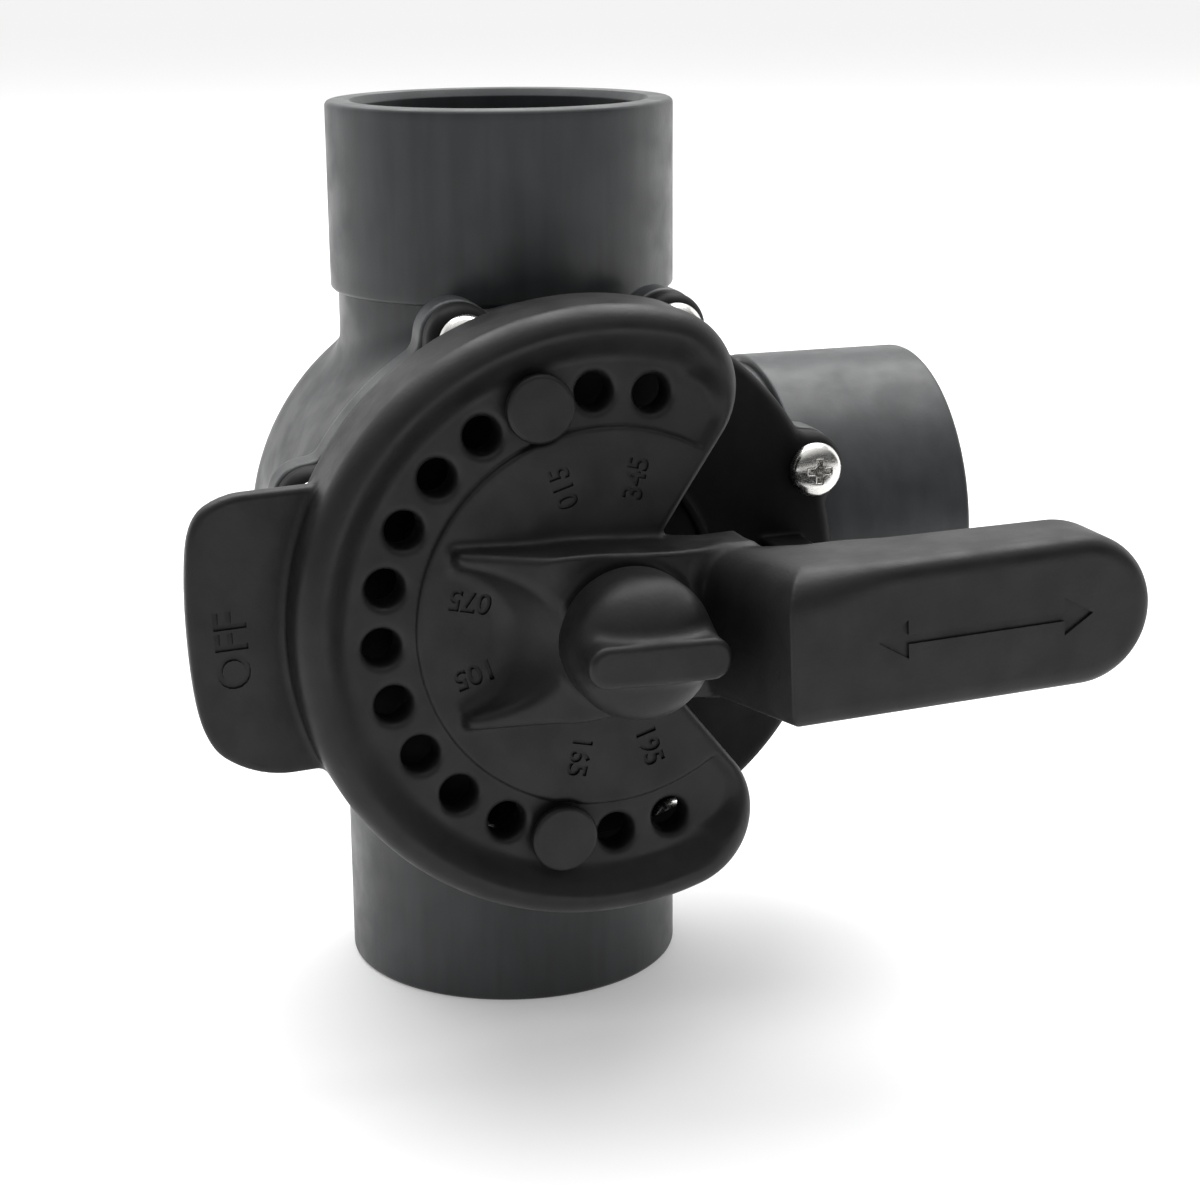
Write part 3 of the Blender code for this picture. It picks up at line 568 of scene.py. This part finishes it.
def turned_mesh(name, profile, steps=144, axis=(0, 1, 0)):
    """A closed ring turned from a closed (radius, height) profile round an axis."""
    rows = len(profile)
    turns = 2 * math.pi * np.arange(steps) / steps
    radius = np.array([r for r, _ in profile])
    height = np.array([h for _, h in profile])
    points = np.empty((steps, rows, 3))
    points[:, :, 0] = np.cos(turns)[:, None] * radius
    points[:, :, 1] = np.sin(turns)[:, None] * radius
    points[:, :, 2] = height
    number = np.arange(steps * rows).reshape(steps, rows)
    around = np.roll(number, -1, axis=0)
    corners = [number, around, np.roll(around, -1, axis=1), np.roll(number, -1, axis=1)]
    quads = np.stack(corners, axis=-1)
    to_axis = np.array(Vector((0, 0, 1)).rotation_difference(Vector(axis)).to_matrix())
    return quad_mesh(name, points.reshape(-1, 3) @ to_axis.T, quads.reshape(-1, 4))


def piece(name, mesh, finish, body, *nodes):
    """An object that stands for CAD nodes and moves with a body."""
    made = bpy.data.objects.new(name, mesh)
    bpy.context.scene.collection.objects.link(made)
    mesh.materials.clear()
    mesh.materials.append(finish)
    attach(made, body)
    if nodes:
        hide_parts(*nodes)
    return made


def boolean(mesh, others, operation):
    """The mesh joined with, or cut by, other closed meshes; the result is a new mesh."""
    base = bpy.data.objects.new("boolean_base", mesh)
    bpy.context.scene.collection.objects.link(base)
    helpers = []
    for other in others:
        helper = bpy.data.objects.new("boolean_tool", other)
        bpy.context.scene.collection.objects.link(helper)
        step = base.modifiers.new("step", "BOOLEAN")
        step.operation = operation
        step.solver = "MANIFOLD"
        step.object = helper
        helpers.append(helper)
    graph = bpy.context.evaluated_depsgraph_get()
    result = bpy.data.meshes.new_from_object(base.evaluated_get(graph))
    result.name = mesh.name
    for spare in [base] + helpers:
        bpy.data.objects.remove(spare)
    return result


def filleted(corners, arc_steps=5, run=1.5):
    """A closed outline with round corners, from (u, v, corner radius), in steps of at most run."""
    outline = []
    for before, here, after in zip(corners[-1:] + corners[:-1], corners, corners[1:] + corners[:1]):
        point = Vector(here[:2])
        back = (Vector(before[:2]) - point).normalized()
        ahead = (Vector(after[:2]) - point).normalized()
        half = back.angle(ahead) / 2
        centre = point + (back + ahead).normalized() * (here[2] / math.sin(half))
        start = point + back * (here[2] / math.tan(half)) - centre
        end = point + ahead * (here[2] / math.tan(half)) - centre
        steps = [start.lerp(end, i / arc_steps).normalized() for i in range(arc_steps + 1)]
        outline.append([centre + step * here[2] for step in steps])
    points = []
    for arc, following in zip(outline, outline[1:] + outline[:1]):
        points += arc
        pieces = max(1, math.ceil((following[0] - arc[-1]).length / run))
        points += [arc[-1].lerp(following[0], i / pieces) for i in range(1, pieces)]
    return [tuple(point) for point in points]


def grid(step):
    return step


def at_rest_angle(mesh):
    """Turns a mesh drawn square to the ports to the handle's angle at rest."""
    turn = Matrix.Rotation(math.radians(-REST_TURN), 4, "Y")
    mesh.transform(Matrix.Translation(CENTRE) @ turn @ Matrix.Translation(-CENTRE))
    return mesh


def lettering(text, height, place, turn, front):
    """Closed raised text, turned in the plane of the dial, that reaches into the face at front."""
    curve = bpy.data.curves.new("lettering", "FONT")
    curve.body = text
    curve.size = height * MM / 0.7
    curve.offset = 0.14 * MM
    curve.resolution_u = 4
    curve.align_x = "CENTER"
    curve.align_y = "CENTER"
    curve.extrude = ENGRAVING_DEPTH * MM
    holder = bpy.data.objects.new("lettering", curve)
    bpy.context.scene.collection.objects.link(holder)
    graph = bpy.context.evaluated_depsgraph_get()
    mesh = bpy.data.meshes.new_from_object(holder.evaluated_get(graph))
    bpy.data.objects.remove(holder)
    return facing_front(welded(mesh), place, turn, front)


def welded(mesh):
    """Joins points that lie on each other, with all faces facing out."""
    shape = bmesh.new()
    shape.from_mesh(mesh)
    bmesh.ops.remove_doubles(shape, verts=shape.verts, dist=0.002 * MM)
    bmesh.ops.recalc_face_normals(shape, faces=shape.faces)
    shape.to_mesh(mesh)
    shape.free()
    return mesh


def facing_front(mesh, place, turn, front):
    """Stands a flat mesh up to face the front, at a place and turn on the dial."""
    upright = Matrix.Rotation(math.radians(90), 4, "X")
    turned = Matrix.Rotation(math.radians(-turn), 4, "Y")
    spot = Matrix.Translation(CENTRE + Vector((place[0], front, place[1])) * MM)
    mesh.transform(spot @ turned @ upright)
    return mesh


def drawn_out(outline, half_depth):
    """A closed flat prism from an outline in millimetres, half in front of its plane."""
    shape = bmesh.new()
    rows = []
    for h in (-half_depth, half_depth):
        rows.append([shape.verts.new((u * MM, v * MM, h * MM)) for u, v in outline])
    shape.faces.new(rows[0][::-1])
    shape.faces.new(rows[1])
    for i in range(len(outline)):
        j = (i + 1) % len(outline)
        shape.faces.new((rows[0][i], rows[0][j], rows[1][j], rows[1][i]))
    mesh = bpy.data.meshes.new("drawn_out")
    shape.to_mesh(mesh)
    shape.free()
    return mesh


# ---------------------------------------------------------------- finishes

def new_finish(name, colour, roughness, metallic=0.0):
    """A principled material and its shader node."""
    finish = bpy.data.materials.new(name)
    finish.use_nodes = True
    shader = finish.node_tree.nodes["Principled BSDF"]
    shader.inputs["Base Color"].default_value = (*colour, 1)
    shader.inputs["Roughness"].default_value = roughness
    shader.inputs["Metallic"].default_value = metallic
    return finish, shader


def noise(finish, waves, detail=3.0, stretch=(1, 1, 1)):
    """Noise fixed to the piece, with this many waves per metre."""
    nodes, links = finish.node_tree.nodes, finish.node_tree.links
    place = nodes.new("ShaderNodeTexCoord")
    scaled = nodes.new("ShaderNodeMapping")
    scaled.inputs["Scale"].default_value = [waves * part for part in stretch]
    texture = nodes.new("ShaderNodeTexNoise")
    texture.inputs["Scale"].default_value = 1.0
    texture.inputs["Detail"].default_value = detail
    links.new(place.outputs["Object"], scaled.inputs["Vector"])
    links.new(scaled.outputs["Vector"], texture.inputs["Vector"])
    return texture.outputs["Fac"]


def remap(finish, value, low, high, start=0.35, end=0.65):
    """Spreads a value from start..end over low..high."""
    spread = finish.node_tree.nodes.new("ShaderNodeMapRange")
    spread.inputs["From Min"].default_value = start
    spread.inputs["From Max"].default_value = end
    spread.inputs["To Min"].default_value = low
    spread.inputs["To Max"].default_value = high
    finish.node_tree.links.new(value, spread.inputs["Value"])
    return spread.outputs["Result"]


def times(finish, a, b):
    """Product of two values."""
    product = finish.node_tree.nodes.new("ShaderNodeMath")
    product.operation = "MULTIPLY"
    for value, socket in zip((a, b), product.inputs):
        finish.node_tree.links.new(value, socket)
    return product.outputs["Value"]


def tone(finish, shader, colour, strength):
    """Base colour from a fixed colour and a varying brightness."""
    nodes, links = finish.node_tree.nodes, finish.node_tree.links
    scaled = nodes.new("ShaderNodeVectorMath")
    scaled.operation = "SCALE"
    scaled.inputs[0].default_value = colour
    links.new(strength, scaled.inputs["Scale"])
    links.new(scaled.outputs["Vector"], shader.inputs["Base Color"])


def relief(finish, shader, layers):
    """Surface relief from (height field, depth in millimetres) layers."""
    nodes, links = finish.node_tree.nodes, finish.node_tree.links
    normal = None
    for height, depth in layers:
        bump = nodes.new("ShaderNodeBump")
        bump.inputs["Strength"].default_value = 1.0
        bump.inputs["Distance"].default_value = depth * MM
        links.new(height, bump.inputs["Height"])
        if normal:
            links.new(normal, bump.inputs["Normal"])
        normal = bump.outputs["Normal"]
    links.new(normal, shader.inputs["Normal"])


def painted_edge_highlight(finish, low, high):
    """Painted highlight: brightness that is higher along the outer edges."""
    shape = finish.node_tree.nodes.new("ShaderNodeNewGeometry")
    return remap(finish, shape.outputs["Pointiness"], low, high, 0.52, 0.62)


def moulded_plastic(name, colour, roughness, grain, grain_depth, flow, shine=0.5):
    """Moulded plastic: cloudy tone, flow streaks, fine grain and a painted highlight on the edges.

    Grain is in waves per metre, its depth in millimetres. Flow gives the streaks' direction: they
    are long where its part is small.
    """
    finish, shader = new_finish(name, colour, roughness)
    shader.inputs["Specular IOR Level"].default_value = shine
    cloud = remap(finish, noise(finish, 45, 4), 0.88, 1.12)
    streak = remap(finish, noise(finish, 260, 3, flow), 0.86, 1.14)
    # the tone is made paler on the edges as a painted highlight
    strength = times(finish, times(finish, cloud, streak), painted_edge_highlight(finish, 1.0, 1.35))
    tone(finish, shader, colour, strength)
    gloss = remap(finish, noise(finish, 120, 5), roughness - 0.06, roughness + 0.08)
    finish.node_tree.links.new(gloss, shader.inputs["Roughness"])
    fine = noise(finish, grain, 2)
    waves = noise(finish, 180, 2, flow)
    relief(finish, shader, [(fine, grain_depth), (waves, 0.03)])
    return finish


def brushed_metal(name, colour, roughness):
    """Machined metal with fine scratches."""
    finish, shader = new_finish(name, colour, roughness, 1.0)
    tone(finish, shader, colour, remap(finish, noise(finish, 300, 3), 0.9, 1.05))
    scratch = noise(finish, 900, 3, (1, 1, 7))
    gloss = remap(finish, scratch, roughness - 0.05, roughness + 0.1)
    finish.node_tree.links.new(gloss, shader.inputs["Roughness"])
    relief(finish, shader, [(scratch, 0.004)])
    return finish


def seal_rubber():
    """Soft black rubber with a dusty bloom."""
    finish, shader = new_finish("seal_rubber_matt", (0.012, 0.012, 0.012), 0.7)
    tone(finish, shader, (0.014, 0.014, 0.014), remap(finish, noise(finish, 500, 5), 0.7, 1.5))
    relief(finish, shader, [(noise(finish, 1500, 2), 0.02)])
    return finish


def bearing_white():
    """Slippery off-white bearing plastic."""
    finish, shader = new_finish("bearing_white_waxy", (0.8, 0.79, 0.75), 0.35)
    tone(finish, shader, (0.8, 0.79, 0.75), remap(finish, noise(finish, 200, 4), 0.92, 1.04))
    shader.inputs["Subsurface Weight"].default_value = 0.1
    shader.inputs["Subsurface Scale"].default_value = 0.5 * MM
    relief(finish, shader, [(noise(finish, 900, 2), 0.01)])
    return finish


def make_finishes():
    """One finish for each of the record's slots."""
    casing = moulded_plastic("casing_pvc", (0.028, 0.030, 0.032), 0.40,
                             grain=1400, grain_depth=0.016, flow=(1, 1, 0.12), shine=0.42)
    # painted shade: the cover's near-black colour and low shine stand in for the shade under the
    # dial
    cover = moulded_plastic("cover_pvc_painted_shade", (0.005, 0.005, 0.0055), 0.50,
                            grain=1400, grain_depth=0.02, flow=(1, 1, 0.4), shine=0.12)
    handle = moulded_plastic("handle_black", (0.008, 0.008, 0.0085), 0.46,
                             grain=1100, grain_depth=0.035, flow=(1, 1, 0.6), shine=0.3)
    diverter = moulded_plastic("diverter_black", (0.022, 0.023, 0.024), 0.4,
                               grain=1400, grain_depth=0.015, flow=(1, 1, 0.5))
    return {
        "casing_plastic": casing,
        "cover_plastic": cover,
        "handle_plastic": handle,
        "diverter_plastic": diverter,
        "seal_rubber": seal_rubber(),
        "bearing_plastic": bearing_white(),
        "stainless_steel": brushed_metal("stainless_bright", (0.74, 0.73, 0.70), 0.2),
        "insert_brass": brushed_metal("brass_bright", (0.75, 0.55, 0.25), 0.26),
    }


# ---------------------------------------------------------------- the pieces

def collar_mesh(name, axis):
    """One port's socket collar, with a lead-in at its mouth and a soft rim."""
    corners = [(SOCKET_RADIUS, COLLAR_START, 0.2),
               (COLLAR_RADIUS, COLLAR_START, 0.9),
               (COLLAR_RADIUS, PORT_REACH, 1.1),
               (SOCKET_RADIUS + 1.2, PORT_REACH, 0.4),
               (SOCKET_RADIUS, PORT_REACH - 1.6, 0.6)]
    return turned_mesh(name, filleted(corners), axis=axis)


def make_casing(finish):
    """The moulded body: barrel, flange and necks, with a collar on each port."""
    reach = FLANGE_RADIUS + 4
    low = (-reach, FLANGE_FRONT - 2, -reach)
    high = (reach, REAR + 2, reach)
    body = mesh_from_field("casing", casing_field, low, high, grid(0.75))
    ports = {"top": (0, 0, 1), "bottom": (0, 0, -1), "side": (1, 0, 0)}
    collars = [collar_mesh("collar_" + name, axis) for name, axis in ports.items()]
    whole = boolean(body, collars, "UNION")
    whole.set_sharp_from_angle(angle=math.radians(60))
    return piece("valve_casing", whole, finish, "casing", "valve_body")


def make_cover(finish):
    """The screwed cover in front of the flange."""
    reach = BOLT_CIRCLE + EAR_RADIUS + 2
    low = (-reach, STOP_LUG_Y[0] - 2, -reach)
    high = (reach, COVER_BACK + 2, reach)
    plate = mesh_from_field("cover_plate", cover_field, low, high, grid(0.55))
    return piece("cover_plate", plate, finish, "casing", "cover")


def make_screws(finish):
    """Eight pan head screws that share one mesh."""
    reach = SCREW_HEAD_RADIUS + 1
    low = (-reach, SCREW_SEAT - SCREW_HEAD_HEIGHT - 1, -reach)
    high = (reach, SCREW_TIP + 1.2, reach)
    mesh = mesh_from_field("cover_screw", screw_field, low, high, grid(0.16))
    for i, angle in enumerate(ear_angles()):
        screw = bpy.data.objects.new(f"pan_screw_{i + 1}", mesh)
        bpy.context.scene.collection.objects.link(screw)
        x, z = round_place(BOLT_CIRCLE, angle)
        spin = Matrix.Rotation(math.radians(37 * i), 4, "Y")
        own_axis = Matrix.Translation(CENTRE)
        spot = Matrix.Translation(Vector((x, 0, z)) * MM)
        screw.matrix_world = spot @ own_axis @ spin @ own_axis.inverted()
        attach(screw, "casing")
        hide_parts(f"cover_screw_{i + 1}")
    mesh.materials.clear()
    mesh.materials.append(finish)


def arrow_outline():
    """A thin double arrow along X."""
    neck = ARROW_HALF_LENGTH - ARROW_HEAD
    barb = ARROW_HEAD * 0.62
    upper = [(ARROW_HALF_LENGTH, 0), (neck, barb), (neck, ARROW_HALF_WIDTH),
             (-neck, ARROW_HALF_WIDTH), (-neck, barb)]
    return upper + [(-u, -v) for u, v in upper]


def engravings():
    """What is cut into the handle: degree numbers, OFF on the tab and an arrow on the arm."""
    tools = []
    for angle in NUMBER_ANGLES:
        shown = f"{(angle - 90) % 360:03d}"
        place = round_place(NUMBER_CIRCLE, angle)
        tools.append(lettering(shown, NUMBER_HEIGHT, place, angle, DISC_FACE))
    tools.append(lettering("OFF", OFF_HEIGHT, OFF_PLACE, 90, TAB_FRONT))
    middle = ((ARM_INNER_X + ARM_TIP_X) / 2 + 2, 0)
    tools.append(facing_front(drawn_out(arrow_outline(), ENGRAVING_DEPTH), middle, 0, ARM_FRONT))
    return [at_rest_angle(mesh) for mesh in tools]


def make_handle(finish):
    """The handle moulding with its engraving."""
    low = (TAB_END_X - 2, ARM_FRONT - 2, -DIAL_RADIUS - 2)
    high = (ARM_TIP_X + 3, SKIRT_BACK + 3, DIAL_RADIUS + 2)
    mesh = at_rest_angle(mesh_from_field("handle", handle_field, low, high, grid(0.5)))
    mesh = boolean(mesh, engravings(), "DIFFERENCE")
    mesh.set_sharp_from_angle(angle=math.radians(60))
    return piece("dial_handle", mesh, finish, "rotor", "handle")


def make_pins(finish):
    """Two stop pins pushed into the dial's holes."""
    for name, angle in STOP_PEG_ANGLES.items():
        x0, z0 = round_place(PEG_CIRCLE, angle)

        def field(x, y, z):
            reach = np.hypot(x - x0, z - z0)
            head = slab(reach - PIN_HEAD_RADIUS, y, PIN_HEAD_FRONT, PIN_HEAD_BACK, 0.9)
            shaft = slab(reach - PIN_RADIUS, y, PIN_HEAD_FRONT + 1.5, PIN_TIP, 0.8)
            collar = slab(reach - PIN_COLLAR_RADIUS, y, PIN_HEAD_FRONT + 1.5, PIN_COLLAR_BACK, 0.3)
            return np.minimum(head, smooth_min(shaft, collar, 0.6))

        low = (x0 - 8, PIN_HEAD_FRONT - 1, z0 - 8)
        high = (x0 + 8, PIN_TIP + 1.5, z0 + 8)
        mesh = at_rest_angle(mesh_from_field(name, field, low, high, grid(0.25)))
        body = name.replace("stop_pin_", "") + "_pin"
        piece("peg_" + name, mesh, finish, body, name)


def make_knob(finish):
    """The wing knob that clamps the handle."""
    low = (-KNOB_RADIUS - 2, WING_FRONT - 2, -KNOB_RADIUS - 2)
    high = (KNOB_RADIUS + 2, KNOB_BACK + 2, KNOB_RADIUS + 2)
    mesh = at_rest_angle(mesh_from_field("knob", knob_field, low, high, grid(0.3)))
    return piece("wing_knob", mesh, finish, "knob", "lock_knob")


def dress_cad_nodes(finishes):
    """Gives the inner CAD pieces that still show their finish."""
    slots = {
        "diverter_plastic": ["diverter"],
        "seal_rubber": ["diverter_seal", "cover_oring", "stem_oring_lower", "stem_oring_upper"],
        "bearing_plastic": ["thrust_washer", "pivot_bushing"],
        "stainless_steel": ["stem_stud", "knob_washer"],
        "insert_brass": ["knob_insert"],
    }
    for slot, names in slots.items():
        for name in names:
            node = frame["nodes"][name]
            node.data.materials.clear()
            node.data.materials.append(finishes[slot])


# ---------------------------------------------------------------- studio

def make_stage():
    """A plain white floor under the lower port."""
    bpy.ops.mesh.primitive_plane_add(size=30, location=(0, 0, -PORT_REACH * MM))
    floor = bpy.context.object
    floor.name = "studio_floor"
    finish, shader = new_finish("studio_white", (0.75, 0.75, 0.75), 0.9)
    shader.inputs["Emission Color"].default_value = (1, 1, 1, 1)
    shader.inputs["Emission Strength"].default_value = 0.25
    floor.data.materials.append(finish)


def area_light(name, place, target, size, power):
    """A large soft light that faces a target."""
    light = bpy.data.lights.new(name, "AREA")
    light.shape = "RECTANGLE"
    light.size, light.size_y = size
    light.energy = power
    holder = bpy.data.objects.new(name, light)
    bpy.context.scene.collection.objects.link(holder)
    holder.location = place
    holder.rotation_euler = (Vector(target) - Vector(place)).to_track_quat("-Z", "Y").to_euler()


def make_world():
    """Surroundings that light the valve from behind and above, and look white where they show."""
    world = bpy.data.worlds.new("studio")
    world.use_nodes = True
    nodes, links = world.node_tree.nodes, world.node_tree.links
    place = nodes.new("ShaderNodeTexCoord")
    parts = nodes.new("ShaderNodeSeparateXYZ")
    links.new(place.outputs["Generated"], parts.inputs["Vector"])
    behind = nodes.new("ShaderNodeMapRange")
    behind.interpolation_type = "SMOOTHSTEP"
    behind.inputs["From Min"].default_value = -0.35
    behind.inputs["From Max"].default_value = 0.65
    behind.inputs["To Min"].default_value = WORLD_FRONT
    behind.inputs["To Max"].default_value = WORLD_BACK
    above = nodes.new("ShaderNodeMapRange")
    above.interpolation_type = "SMOOTHSTEP"
    above.inputs["From Min"].default_value = 0.2
    above.inputs["From Max"].default_value = 0.9
    above.inputs["To Min"].default_value = 0.0
    above.inputs["To Max"].default_value = WORLD_TOP
    links.new(parts.outputs["Y"], behind.inputs["Value"])
    links.new(parts.outputs["Z"], above.inputs["Value"])
    brightest = nodes.new("ShaderNodeMath")
    brightest.operation = "MAXIMUM"
    links.new(behind.outputs["Result"], brightest.inputs[0])
    links.new(above.outputs["Result"], brightest.inputs[1])
    seen = nodes.new("ShaderNodeLightPath")
    strength = nodes.new("ShaderNodeMath")
    strength.operation = "MAXIMUM"
    links.new(brightest.outputs["Value"], strength.inputs[0])
    links.new(seen.outputs["Is Camera Ray"], strength.inputs[1])
    links.new(strength.outputs["Value"], nodes["Background"].inputs["Strength"])
    nodes["Background"].inputs["Color"].default_value = (1, 1, 1, 1)
    bpy.context.scene.world = world


def make_lights():
    """A large light above and behind, and a weak one at the right."""
    area_light("overhead", (0.2, 0.6, 1.8), (0, -0.05, 0), (2.4, 2.0), 58)
    area_light("right", (1.1, 0.1, 0.35), (0, -0.05, 0), (0.8, 0.9), 2.0)


def make_camera():
    """The camera stands to the left of the front, a little above."""
    yaw, pitch, roll = (math.radians(angle) for angle in CAMERA_TURNS)
    flat = Vector((math.sin(yaw), math.cos(yaw), 0))
    ahead = flat * math.cos(pitch) - Vector((0, 0, math.sin(pitch)))
    level = Vector((math.cos(yaw), -math.sin(yaw), 0))
    over = level.cross(ahead)
    right = math.cos(roll) * level + math.sin(roll) * over
    up = math.cos(roll) * over - math.sin(roll) * level
    data = bpy.data.cameras.new("view")
    data.sensor_width = 36
    data.lens = CAMERA_LENS
    data.clip_end = 100
    camera = bpy.data.objects.new("view", data)
    bpy.context.scene.collection.objects.link(camera)
    target = CENTRE + Vector(CAMERA_TARGET) * MM
    turn = Matrix((right, up, -ahead)).transposed().to_4x4()
    camera.matrix_world = Matrix.Translation(target - ahead * CAMERA_DISTANCE * MM) @ turn
    bpy.context.scene.camera = camera


finishes = make_finishes()
make_camera()
make_stage()
make_world()
make_lights()
make_casing(finishes["casing_plastic"])
make_cover(finishes["cover_plastic"])
make_screws(finishes["stainless_steel"])
make_handle(finishes["handle_plastic"])
make_pins(finishes["handle_plastic"])
make_knob(finishes["handle_plastic"])
dress_cad_nodes(finishes)
bpy.context.scene.view_settings.view_transform = "Standard"
